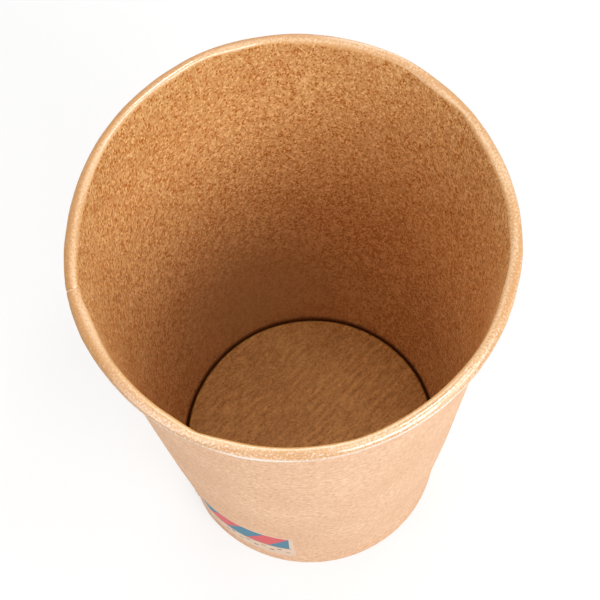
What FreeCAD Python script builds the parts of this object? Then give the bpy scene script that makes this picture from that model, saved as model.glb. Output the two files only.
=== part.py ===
"""Paper cold cup: a cone rolled from one sheet with a lapped side seam, and a pressed base disc.

Frame: the origin is the centre of the foot, on the surface that the cup stands on. +Z is up,
+X is to the right and -Y is the front, so the side seam is on the left. Millimetres.
"""
import FreeCAD, Part

import math
import os
from dataclasses import dataclass

# Overall sizes
CUP_HEIGHT = 112.0      # foot to crown of the rolled rim
RIM_DIAMETER = 90.0     # over the rolled rim
FOOT_DIAMETER = 59.0    # of the outer cone where it meets the ground

# Stock
WALL_SHEET = 0.40       # coated board of the side wall
DISC_SHEET = 0.30       # coated board of the base disc
SEAL_GAP = 0.02         # film between the disc's skirt and the wall that grips it

# Rolled rim
BEAD_DIAMETER = 2.75
CURL_GAP = 0.03         # between the roll and the wall it closes on
ROLL_SWEEP = 180.0      # degrees the sheet goes on inside the bead, past its underside
LAP_ROLL_CORE = 0.05    # radius left open inside that turn where the sheet is double
LAP_ROLL_GAP = 0.18     # end of the double turn to the wall, which it stops short of

# Side seam
SEAM_AZIMUTH = 188.5    # degrees from +X, of the inner lap's cut edge
LAP_ANGLE = 12.5        # degrees over which the sheet is double
RAMP_ANGLE = 10.0       # degrees in which a lap settles back on the cone
RAMP_SECTIONS = 5       # profiles that make up a ramp

# Base
DISC_HEIGHT = 7.1       # ground to the disc's upper face
DISC_BEND_RADIUS = 1.1  # outside of the bend between disc and skirt
SKIRT_CLEARANCE = 0.5   # inside of the fold, where it is double, to the skirt's lower edge
TUCK_CLEARANCE = 0.2    # edge of the wall's folded-in foot to the start of the disc's bend
FOOT_LAND = 0.20        # width of the ring pressed flat under the fold
BEND_RING_WIDTH = 5.5   # of the disc's outer ring, which follows the seam's steps


def cone_angle():
    """Half angle of the cone whose outer face meets the foot and runs on into the bead."""
    bead = BEAD_DIAMETER / 2
    across = RIM_DIAMETER / 2 - bead - FOOT_DIAMETER / 2
    up = CUP_HEIGHT - bead
    return math.acos((bead - WALL_SHEET) / math.hypot(across, up)) - math.atan2(up, across)


CONE = cone_angle()
SKIRT_CHANNEL = DISC_SHEET + 2 * SEAL_GAP  # between the two legs of the foot's fold
CREASE_RADIUS = (SKIRT_CHANNEL - FOOT_LAND) / 2
SKIRT_END_HEIGHT = 2 * WALL_SHEET + SKIRT_CLEARANCE
TUCK_HEIGHT = DISC_HEIGHT - DISC_BEND_RADIUS - TUCK_CLEARANCE
HUB_RADIUS = FOOT_DIAMETER / 2 - BEND_RING_WIDTH
HUB_OVERLAP = 1.0       # of the disc's flat middle under its outer ring
UPRIGHT = 180 - math.degrees(CONE)         # direction from a bead's centre to the wall
OUTWARD = -math.degrees(CONE)              # direction square to the wall, away from the axis


@dataclass(frozen=True)
class SheetShape:
    """What sets the side wall's profile at one azimuth. Each size changes evenly along a ramp."""
    level: float         # outer cone to the sheet's outer face
    thickness: float
    bead_radius: float   # of the coated face round the bead
    crown: float         # height of that face's top
    roll_radius: float   # of the coated face where it goes on inside the bead
    roll_sweep: float
    channel: float       # between the two legs of the foot's fold
    crease_radius: float  # of the coated face at the fold's two corners
    lift: float          # ground to the underside of the fold

    def towards(self, other, share):
        """The shape that lies a share of the way to another."""
        start, end = vars(self), vars(other)
        return SheetShape(**{key: start[key] + share * (end[key] - start[key]) for key in start})


LAP_BEAD_RADIUS = (BEAD_DIAMETER + WALL_SHEET) / 2
LAP_ROLL_RADIUS = 2 * WALL_SHEET + LAP_ROLL_CORE


def lap_roll_sweep():
    """Degrees that the double sheet goes on inside the bead before it nears the wall."""
    inner_bead = LAP_BEAD_RADIUS - 2 * WALL_SHEET
    to_wall = inner_bead + (LAP_BEAD_RADIUS - LAP_ROLL_RADIUS) * math.sin(CONE)
    return 90 - OUTWARD - math.degrees(math.acos((to_wall - LAP_ROLL_GAP) / LAP_ROLL_RADIUS))


LAP_ROLL_SWEEP = lap_roll_sweep()
SINGLE = SheetShape(
    level=0, thickness=WALL_SHEET, bead_radius=BEAD_DIAMETER / 2, crown=CUP_HEIGHT,
    roll_radius=BEAD_DIAMETER / 2 - WALL_SHEET - CURL_GAP, roll_sweep=ROLL_SWEEP,
    channel=SKIRT_CHANNEL, crease_radius=CREASE_RADIUS, lift=0,
)
DOUBLE = SheetShape(
    level=0, thickness=2 * WALL_SHEET, bead_radius=LAP_BEAD_RADIUS, crown=CUP_HEIGHT,
    roll_radius=LAP_ROLL_RADIUS, roll_sweep=LAP_ROLL_SWEEP,
    channel=SKIRT_CHANNEL, crease_radius=CREASE_RADIUS, lift=0,
)
OUTER_LAP = SheetShape(
    level=0, thickness=WALL_SHEET, bead_radius=LAP_BEAD_RADIUS - WALL_SHEET,
    crown=CUP_HEIGHT - WALL_SHEET, roll_radius=LAP_ROLL_RADIUS - WALL_SHEET,
    roll_sweep=LAP_ROLL_SWEEP, channel=SKIRT_CHANNEL + 2 * WALL_SHEET,
    crease_radius=CREASE_RADIUS + WALL_SHEET, lift=0,
)
INNER_LAP = SheetShape(
    level=WALL_SHEET, thickness=WALL_SHEET, bead_radius=LAP_BEAD_RADIUS, crown=CUP_HEIGHT,
    roll_radius=LAP_ROLL_RADIUS, roll_sweep=LAP_ROLL_SWEEP,
    channel=SKIRT_CHANNEL, crease_radius=CREASE_RADIUS, lift=WALL_SHEET,
)


def polar(centre, radius, degrees):
    """A point of the profile plane at a distance and a direction from a centre."""
    turn = math.radians(degrees)
    return centre[0] + radius * math.cos(turn), centre[1] + radius * math.sin(turn)


def inside_cone(height, depth):
    """The point at a height that lies a depth inside the outer cone, square to it."""
    return FOOT_DIAMETER / 2 + height * math.tan(CONE) - depth / math.cos(CONE), height


def along_wall(point, length):
    """A point moved up the slope of the wall."""
    return point[0] + length * math.sin(CONE), point[1] + length * math.cos(CONE)


class Outline:
    """A closed profile in the plane at one azimuth, drawn edge by edge."""

    def __init__(self, azimuth, start):
        self.turn = math.radians(azimuth)
        self.first = self.last = start
        self.edges = []

    def place(self, point):
        return FreeCAD.Vector(
            point[0] * math.cos(self.turn), point[0] * math.sin(self.turn), point[1]
        )

    def line_to(self, point):
        self.edges.append(Part.makeLine(self.place(self.last), self.place(point)))
        self.last = point

    def arc(self, centre, radius, start, end):
        middle, self.last = polar(centre, radius, (start + end) / 2), polar(centre, radius, end)
        points = (polar(centre, radius, start), middle, self.last)
        self.edges.append(Part.Arc(*(self.place(point) for point in points)).toShape())

    def closed(self):
        self.line_to(self.first)
        return Part.Wire(self.edges)


def wall_outline(shape, azimuth):
    """The sheet from the edge tucked into the foot, up the cone and round the bead to its end."""
    crease = shape.crease_radius
    outer_crease = crease + shape.thickness
    height = outer_crease + shape.lift
    heel = inside_cone(height, shape.level + outer_crease)
    toe = inside_cone(height, shape.level + shape.thickness + shape.channel - crease)
    tuck = (TUCK_HEIGHT - height) / math.cos(CONE)
    bead = inside_cone(
        shape.crown - shape.bead_radius, shape.level + shape.thickness - shape.bead_radius
    )
    roll = bead[0], bead[1] - shape.bead_radius + shape.roll_radius
    inner_bead = shape.bead_radius - shape.thickness
    roll_end = -90 - shape.roll_sweep

    outline = Outline(azimuth, along_wall(polar(toe, outer_crease, UPRIGHT), tuck))
    outline.line_to(polar(toe, outer_crease, UPRIGHT))
    outline.arc(toe, outer_crease, UPRIGHT, 270)
    outline.line_to(polar(heel, outer_crease, 270))
    outline.arc(heel, outer_crease, 270, UPRIGHT + 180)
    outline.line_to(polar(bead, inner_bead, UPRIGHT))
    outline.arc(bead, inner_bead, UPRIGHT, -90)
    outline.arc(roll, shape.roll_radius - shape.thickness, -90, roll_end)
    outline.line_to(polar(roll, shape.roll_radius, roll_end))
    outline.arc(roll, shape.roll_radius, roll_end, -90)
    outline.arc(bead, shape.bead_radius, -90, UPRIGHT)
    outline.line_to(polar(heel, crease, OUTWARD))
    outline.arc(heel, crease, UPRIGHT + 180, 270)
    outline.line_to(polar(toe, crease, 270))
    outline.arc(toe, crease, 270, UPRIGHT)
    outline.line_to(along_wall(polar(toe, crease, UPRIGHT), tuck))
    return outline.closed()


def disc_outline(depth, azimuth):
    """The disc outside its flat middle, bent down into the skirt a depth inside the cone."""
    bend = inside_cone(DISC_HEIGHT - DISC_BEND_RADIUS, depth + DISC_BEND_RADIUS)
    drop = (SKIRT_END_HEIGHT - bend[1]) / math.cos(CONE)
    inner_bend = DISC_BEND_RADIUS - DISC_SHEET

    outline = Outline(azimuth, (HUB_RADIUS, DISC_HEIGHT))
    outline.line_to((bend[0], DISC_HEIGHT))
    outline.arc(bend, DISC_BEND_RADIUS, 90, OUTWARD)
    outline.line_to(along_wall(polar(bend, DISC_BEND_RADIUS, OUTWARD), drop))
    outline.line_to(along_wall(polar(bend, inner_bend, OUTWARD), drop))
    outline.line_to(polar(bend, inner_bend, OUTWARD))
    outline.arc(bend, inner_bend, OUTWARD, 90)
    outline.line_to((HUB_RADIUS, DISC_HEIGHT - DISC_SHEET))
    return outline.closed()


def turned(outline, start, end):
    """The solid that a profile sweeps from one azimuth to another."""
    return Part.Face(outline(start)).revolve(
        FreeCAD.Vector(0, 0, 0), FreeCAD.Vector(0, 0, 1), end - start
    )


def ramp(outline_at, start, end):
    """The solid through profiles that change evenly from one azimuth to another."""
    shares = [step / (RAMP_SECTIONS - 1) for step in range(RAMP_SECTIONS)]
    profiles = [outline_at(share, start + share * (end - start)) for share in shares]
    return Part.makeLoft(profiles, True, True)


def fused(solids):
    """One solid from solids that share faces."""
    shape = solids[0].multiFuse(solids[1:]).removeSplitter()
    if len(shape.Solids) != 1 or not shape.isValid():
        raise ValueError(f"{len(shape.Solids)} solids, valid: {shape.isValid()}")
    return shape.Solids[0]


def seam_azimuths():
    """Where the ramp before the lap starts, the lap starts and ends, and the next ramp ends."""
    lap_end = SEAM_AZIMUTH + LAP_ANGLE
    return SEAM_AZIMUTH - RAMP_ANGLE, SEAM_AZIMUTH, lap_end, lap_end + RAMP_ANGLE


def make_side_wall():
    before, lap, lap_end, after = seam_azimuths()
    return fused([
        turned(lambda azimuth: wall_outline(SINGLE, azimuth), after, before + 360),
        turned(lambda azimuth: wall_outline(DOUBLE, azimuth), lap, lap_end),
        ramp(lambda share, azimuth: wall_outline(SINGLE.towards(OUTER_LAP, share), azimuth),
             before, lap),
        ramp(lambda share, azimuth: wall_outline(INNER_LAP.towards(SINGLE, share), azimuth),
             lap_end, after),
    ])


def make_base_disc():
    before, lap, lap_end, after = seam_azimuths()
    single = WALL_SHEET + SEAL_GAP
    double = single + WALL_SHEET
    hub = Part.makeCylinder(
        HUB_RADIUS + HUB_OVERLAP, DISC_SHEET, FreeCAD.Vector(0, 0, DISC_HEIGHT - DISC_SHEET)
    )
    return fused([
        hub,
        turned(lambda azimuth: disc_outline(single, azimuth), after, before + 360),
        turned(lambda azimuth: disc_outline(double, azimuth), lap, lap_end),
        ramp(lambda share, azimuth: disc_outline(single + share * WALL_SHEET, azimuth),
             before, lap),
        ramp(lambda share, azimuth: disc_outline(double - share * WALL_SHEET, azimuth),
             lap_end, after),
    ])


def main():
    os.makedirs("parts", exist_ok=True)
    nodes = {"side_wall": make_side_wall(), "base_disc": make_base_disc()}
    for name, shape in nodes.items():
        shape.exportStep(f"parts/{name}.step")
        box = shape.optimalBoundingBox()
        print(f"{name}: {shape.Volume:.1f} mm3, {len(shape.Faces)} faces, "
              f"z {box.ZMin:.2f} to {box.ZMax:.2f}, across {box.XLength:.2f} x {box.YLength:.2f}")


if __name__ == "__main__":
    main()
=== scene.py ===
"""Looks of the paper cold cup: two sheets of kraft board, with the seam, curl, fold and print.

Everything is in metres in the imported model's frame: the origin is the centre of the foot, +Z is up,
+X is to the right and -Y is the front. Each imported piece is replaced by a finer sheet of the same
sizes, which also shows what board does when it is formed: the rim is a little out of round, the
curl is rippled, and the foot is pressed with fine ribs.
"""

import logging
import math
from collections.abc import Callable, Iterable, Mapping, Sequence
from dataclasses import dataclass, replace
from enum import Enum

import bmesh
import bpy
import numpy as np
from mathutils import Matrix, Vector, noise


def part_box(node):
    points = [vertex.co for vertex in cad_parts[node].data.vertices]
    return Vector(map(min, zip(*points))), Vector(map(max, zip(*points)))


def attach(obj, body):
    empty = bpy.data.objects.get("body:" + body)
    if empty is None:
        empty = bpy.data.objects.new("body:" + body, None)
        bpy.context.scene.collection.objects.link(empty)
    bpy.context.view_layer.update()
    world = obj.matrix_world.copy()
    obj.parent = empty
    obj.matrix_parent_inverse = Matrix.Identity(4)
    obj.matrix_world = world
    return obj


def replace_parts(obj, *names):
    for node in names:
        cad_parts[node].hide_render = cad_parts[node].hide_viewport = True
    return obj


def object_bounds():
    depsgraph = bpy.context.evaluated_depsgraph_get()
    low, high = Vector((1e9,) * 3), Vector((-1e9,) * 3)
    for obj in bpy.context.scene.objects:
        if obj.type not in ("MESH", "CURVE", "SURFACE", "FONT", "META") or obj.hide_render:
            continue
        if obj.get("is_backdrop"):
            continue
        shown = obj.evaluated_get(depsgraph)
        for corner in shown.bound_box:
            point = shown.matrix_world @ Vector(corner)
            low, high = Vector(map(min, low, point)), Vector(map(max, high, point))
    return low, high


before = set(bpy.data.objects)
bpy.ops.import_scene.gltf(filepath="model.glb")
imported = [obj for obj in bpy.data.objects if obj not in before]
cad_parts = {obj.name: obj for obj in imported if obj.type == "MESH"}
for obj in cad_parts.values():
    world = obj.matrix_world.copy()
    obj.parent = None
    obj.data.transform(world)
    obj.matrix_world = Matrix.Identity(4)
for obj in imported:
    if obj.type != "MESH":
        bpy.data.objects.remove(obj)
CAD_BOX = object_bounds()

MM = 0.001
BODY = "root"
BLANK = "blank"     # attribute: place in the flat sheet in millimetres, and the face as its third
# The curl attribute's -1 in the groove masks a painted shade that darkens the groove.
CURL = "curl"       # attribute: 0 on the flat, 1 more for each CURL_UNIT of a roll of the plain
                    # size, and -1 in the groove round the disc
CURL_UNIT = 0.6 * MM
SHARP = 50.0        # degrees past which an edge is left sharp
WHITE = (1.0, 1.0, 1.0)
log = logging.getLogger("cup")

Pair = tuple[float, float]              # pitches across and up the blank, or the ends of a step
Point = tuple[float, float]             # radius and height in the plane of one azimuth
Place = tuple[float, float, float]      # x, y and z, or a direction
Colour = tuple[float, float, float]     # linear red, green and blue


# Shader expressions


class Signal:
    """A shader socket that arithmetic works on: an expression adds the Math nodes it needs."""

    def __init__(self, shader: "Shader", socket: bpy.types.NodeSocket) -> None:
        """Wraps a socket.

        Args:
            shader: The node tree that the expression grows in.
            socket: The output that carries the value.
        """
        self.shader = shader
        self.socket = socket

    def math(self, operation: str, *values: "Signal | float") -> "Signal":
        """Adds one Math node.

        Args:
            operation: What the node does, such as ADD.
            *values: Its inputs, in order.

        Returns:
            The node's result.
        """
        return self.shader.node("ShaderNodeMath", {"operation": operation}, dict(enumerate(values)))

    def __add__(self, other: "Signal | float") -> "Signal":
        """This value plus another."""
        return self.math("ADD", self, other)

    def __radd__(self, other: float) -> "Signal":
        """A number plus this value."""
        return self.math("ADD", other, self)

    def __sub__(self, other: "Signal | float") -> "Signal":
        """This value less another."""
        return self.math("SUBTRACT", self, other)

    def __rsub__(self, other: float) -> "Signal":
        """A number less this value."""
        return self.math("SUBTRACT", other, self)

    def __mul__(self, other: "Signal | float") -> "Signal":
        """This value times another."""
        return self.math("MULTIPLY", self, other)

    def __rmul__(self, other: float) -> "Signal":
        """A number times this value."""
        return self.math("MULTIPLY", other, self)

    def largest(self, other: "Signal | float") -> "Signal":
        """The larger of this value and another."""
        return self.math("MAXIMUM", self, other)

    def above(self, low: float, high: float) -> "Signal":
        """A smooth step from 0 where the value is low to 1 where it is high."""
        limits = {"Value": self, "From Min": low, "From Max": high}
        return self.shader.node("ShaderNodeMapRange", {"interpolation_type": "SMOOTHSTEP"}, limits)

    def clamped(self) -> "Signal":
        """This value held between 0 and 1."""
        return self.shader.node("ShaderNodeClamp", {}, {"Value": self})

    def output(self, name: str) -> "Signal":
        """Another output of the node that this value comes from."""
        return Signal(self.shader, self.socket.node.outputs[name])


class Shader:
    """The node tree of a material or of the world, grown from expressions."""

    def __init__(self, owner: "bpy.types.Material | bpy.types.World") -> None:
        """Empties the owner's node tree.

        Args:
            owner: The material or world to dress.
        """
        owner.use_nodes = True
        self.tree = owner.node_tree
        self.tree.nodes.clear()

    def node(
        self,
        kind: str,
        settings: "Mapping[str, object] | None" = None,
        inputs: "Mapping[str | int, object] | None" = None,
        output: "str | int" = 0,
    ) -> Signal:
        """Adds a node, sets it up and connects it.

        Args:
            kind: The node's type.
            settings: Its own properties, which are set first.
            inputs: A value or a Signal for each of its sockets that is used.
            output: The socket that the result is read from.

        Returns:
            That socket, as a Signal.
        """
        made = self.tree.nodes.new(kind)
        for name, value in (settings or {}).items():
            setattr(made, name, value)
        for key, value in (inputs or {}).items():
            if isinstance(value, Signal):
                self.tree.links.new(value.socket, made.inputs[key])
            else:
                made.inputs[key].default_value = value
        return Signal(self, made.outputs[output])

    def here(self) -> Signal:
        """The point itself, in metres."""
        return self.node("ShaderNodeTexCoord", output="Object")

    def attribute(self, name: str, output: str = "Vector") -> Signal:
        """Reads what the mesh stores under a name."""
        return self.node("ShaderNodeAttribute", {"attribute_name": name}, {}, output)

    def parts(self, vector: Signal) -> Signal:
        """A vector's X. Its other outputs are Y and Z."""
        return self.node("ShaderNodeSeparateXYZ", {}, {0: vector})

    def stretched(self, place: Signal, pitch: Pair) -> Signal:
        """A place in the blank with its coordinates across and up multiplied."""
        return self.node("ShaderNodeVectorMath", {"operation": "MULTIPLY"}, {0: place, 1: (*pitch, 1)})

    def measured(self, operation: str, vector: Signal, other: Sequence[float]) -> Signal:
        """A number that two vectors give, such as their DISTANCE or DOT_PRODUCT."""
        inputs = {0: vector, 1: other}
        return self.node("ShaderNodeVectorMath", {"operation": operation}, inputs, "Value")

    def noise(
        self, place: Signal, pitch: "float | Pair", detail: float = 2.0, rough: float = 0.5
    ) -> Signal:
        """Smooth noise about zero.

        Args:
            place: Where it is read.
            pitch: Lumps in each unit of place, or in each unit across and up.
            detail: How many finer octaves it has.
            rough: How strong they are.

        Returns:
            The noise, mostly between -0.3 and 0.3.
        """
        if isinstance(pitch, tuple):
            place, pitch = self.stretched(place, pitch), 1.0
        inputs = {"Vector": place, "Scale": pitch, "Detail": detail, "Roughness": rough}
        return self.node("ShaderNodeTexNoise", {}, inputs) - 0.5

    def cells(self, place: Signal, scale: float) -> Signal:
        """Splits a surface into small cells, each with a value of its own.

        Args:
            place: Where it is read.
            scale: Cells in each unit of place.

        Returns:
            The cell's value, from -1 to 1 but mostly near 0.
        """
        cell = self.node("ShaderNodeTexVoronoi", {}, {"Vector": place, "Scale": scale}, "Color")
        even = 2 * self.parts(cell) - 1
        return even * even * even

    def blend(
        self, share: "Signal | float", first: "Signal | Colour", second: "Signal | Colour"
    ) -> Signal:
        """Mixes two colours.

        Args:
            share: 0 for the first, 1 for the second.
            first: A colour.
            second: Another.

        Returns:
            The mixed colour.
        """
        colours = [c if isinstance(c, Signal) else (*c, 1.0) for c in (first, second)]
        inputs = {0: share, 6: colours[0], 7: colours[1]}
        return self.node("ShaderNodeMix", {"data_type": "RGBA"}, inputs, 2)

    def relief(self, height: Signal, depth: float) -> Signal:
        """A normal that follows a height, where a height of 1 stands for a depth in metres."""
        return self.node("ShaderNodeBump", {}, {"Height": height, "Distance": depth})

    def close(self, surface: Signal, kind: str = "ShaderNodeOutputMaterial") -> None:
        """Connects the surface to the tree's output."""
        end = self.tree.nodes.new(kind)
        self.tree.links.new(surface.socket, end.inputs["Surface"])


# Finishes


def scaled(colour: Colour, factor: float) -> Colour:
    """A colour made brighter or darker."""
    return tuple(min(1.0, factor * part) for part in colour)


@dataclass(frozen=True)
class Finish:
    """A finish, with a material of its own."""

    name: str

    def surface(self, shader: Shader) -> Signal:
        """Grows the nodes of the finish.

        Args:
            shader: The material's nodes.

        Returns:
            The surface.
        """
        raise NotImplementedError

    def dressed(self) -> bpy.types.Material:
        """Makes the material.

        Returns:
            The finish's material.
        """
        material = bpy.data.materials.new(self.name)
        shader = Shader(material)
        shader.close(self.surface(shader))
        return material


@dataclass(frozen=True)
class Band:
    """A stretch of the roll, by the values of the curl attribute where it fades in and out."""

    start: Pair
    end: Pair

    def share(self, curl: Signal) -> Signal:
        """How far a point of the roll lies in the band, from 0 to 1."""
        return curl.above(*self.start) - curl.above(*self.end)


@dataclass(frozen=True)
class Rise:
    """A strength that comes in between two values of what it depends on."""

    full: float
    low: float
    high: float

    def at(self, value: Signal) -> Signal:
        """The strength at a value, from 0 up to the full one."""
        return self.full * value.above(self.low, self.high)


@dataclass(frozen=True)
class Sides:
    """A strength that differs between the rim's back, its front and the half that holds the seam."""

    back: float
    front: float
    seam: float

    def at(self, front: Signal, seam_side: Signal) -> Signal:
        """The strength where a point lies so far on the front and on the seam's side."""
        return self.back + (self.front - self.back) * front + (self.seam - self.back) * seam_side


@dataclass(frozen=True)
class RolledRim:
    """What rolling does to the coated face, with painted shade, painted highlights and painted bounce
    light on the roll.
    """

    ground: Colour = (0.63, 0.315, 0.11)    # of the stretched fibres
    patch: Colour = (0.87, 0.57, 0.33)      # where the coating has gone pale
    fold: Colour = (0.84, 0.47, 0.13)       # painted warm bounce light where the wall turns into the roll
    shaded_flank: Colour = (0.54, 0.245, 0.07)     # painted shade on the roll's outer side, mostly on the seam's half
    glint_white: Colour = (1.0, 0.95, 0.90)       # white of the painted glints, and of the painted highlight line under the front
    share: float = 0.9                      # of these colours over the board's own
    wrinkle: float = 1.5                    # depth of the wrinkles, in shares of the board's relief
    gloss: float = 1.0                      # strength of the molten coating
    front: Pair = (-18 * MM, -38 * MM)      # Y where the front starts, and where it is fully front
    seam_side: Pair = (25 * MM, -5 * MM)    # X of the same for the half that holds the seam
    lap_edge: Place = (1.0, 0.0, 0.0)       # direction in the blank square to the lap's cut edge
    worn_edge: float = 0.5                  # millimetres along that edge that wear has left pale
    worn_edge_share: float = 0.7
    streak_pitch: Pair = (0.05, 0.42)       # in each millimetre along the rim, and round the roll
    fleck_pitch: Pair = (2.1, 2.4)
    wrinkle_pitch: Pair = (1.3, 0.8)
    mottle: Pair = (-0.16, 0.20)            # values of the mixed noise at the ground, and the patches
    # Painted bounce light: the band of the warm line where the wall turns into the roll, and its
    # strength on each side.
    folded: Band = Band((0.1, 0.7), (1.4, 3.6))
    fold_light_share: Sides = Sides(0.1, 0.65, 0.2)
    molten: Band = Band((0.5, 1.6), (4.4, 5.8))
    molten_at_seam: Band = Band((0.5, 1.6), (2.4, 3.4))
    molten_share: Sides = Sides(0.5, 1.0, 1.0)
    # Painted highlight: the band of the pale line low on the roll's outer side at the front.
    highlight_band: Band = Band((5.0, 5.6), (7.2, 7.6))
    seam_flank: Rise = Rise(0.75, 2.1, 3.3)     # painted shade of the outer side, over the curl attribute, as the next
    front_flank: Rise = Rise(0.25, 2.9, 5.2)
    fleck_glint: Rise = Rise(0.7, 0.17, 0.26)    # painted glints, over the flecks' noise, as the next
    front_fleck_glint: Rise = Rise(0.45, 0.0, 0.2)

    def sides(self, shader: Shader) -> tuple[Signal, Signal]:
        """Tells the sides of the rim apart.

        Args:
            shader: The material's nodes.

        Returns:
            How far a point lies on the front, and on the half that holds the seam.
        """
        across = shader.parts(shader.here())
        front = across.output("Y").above(*self.front)
        return front, across.above(*self.seam_side) * (1 - front)

    def coat(self, shader: Shader, curl: Signal, wrinkle: Signal) -> Signal:
        """Strength of the molten coating, which the flank lacks.

        Args:
            shader: The material's nodes.
            curl: How far round the roll a point lies.
            wrinkle: The wrinkles' height.

        Returns:
            The coat's weight.
        """
        front, seam_side = self.sides(shader)
        plain = (1 - seam_side) * self.molten.share(curl)
        at_seam = seam_side * self.molten_at_seam.share(curl)
        strength = self.molten_share.at(front, seam_side) * (0.7 + 0.3 * wrinkle.above(-0.2, 0.1))
        return self.gloss * (plain + at_seam) * strength

    def coloured(self, shader: Shader, place: Signal, curl: Signal, board: Signal) -> Signal:
        """Colours the roll, with its painted shade, glints, highlight line and bounce light.

        Args:
            shader: The material's nodes.
            place: Place in the blank.
            curl: How far round the roll a point lies.
            board: The board's own colour.

        Returns:
            The colour of the board, with its roll.
        """
        along, round_it = self.streak_pitch
        run = {0: along * shader.parts(place), 1: round_it * curl}
        streak = shader.noise(shader.node("ShaderNodeCombineXYZ", {}, run), 1.0, 1.0)
        fleck = shader.noise(place, self.fleck_pitch, 2.0, 0.7)
        front, seam_side = self.sides(shader)
        mottle = (streak + 1.1 * fleck).above(*self.mottle)
        colour = shader.blend(mottle, self.ground, self.patch)
        # Painted shade: the roll's outer side is darkened, most on the seam's half and a little at the
        # front.
        shaded_flank = seam_side * self.seam_flank.at(curl) + front * self.front_flank.at(curl)
        colour = shader.blend(shaded_flank.clamped(), colour, self.shaded_flank)
        # Painted glints: flecks of near white, more of them at the front.
        pale = self.fleck_glint.at(fleck) + front * self.front_fleck_glint.at(fleck)
        colour = shader.blend(pale.clamped(), colour, self.glint_white)
        colour = shader.blend(self.share * curl.above(0.0, 1.0), board, colour)
        # Painted bounce light: a warm line where the wall turns into the roll, strongest at the front.
        fold_light = self.folded.share(curl) * self.fold_light_share.at(front, seam_side)
        colour = shader.blend(fold_light, colour, self.fold)
        past_edge = shader.measured("DOT_PRODUCT", place, self.lap_edge)
        worn_edge = past_edge.above(self.worn_edge, 0.1) * curl.above(0.2, 1.0)
        colour = shader.blend(self.worn_edge_share * worn_edge, colour, self.patch)
        # Painted highlight: a pale line low on the roll's outer side, at the front.
        highlight_band = self.highlight_band.share(curl) * front * (0.35 + 0.5 * streak.above(-0.15, 0.15) + fleck)
        return shader.blend(highlight_band.clamped(), colour, self.glint_white)


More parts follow.
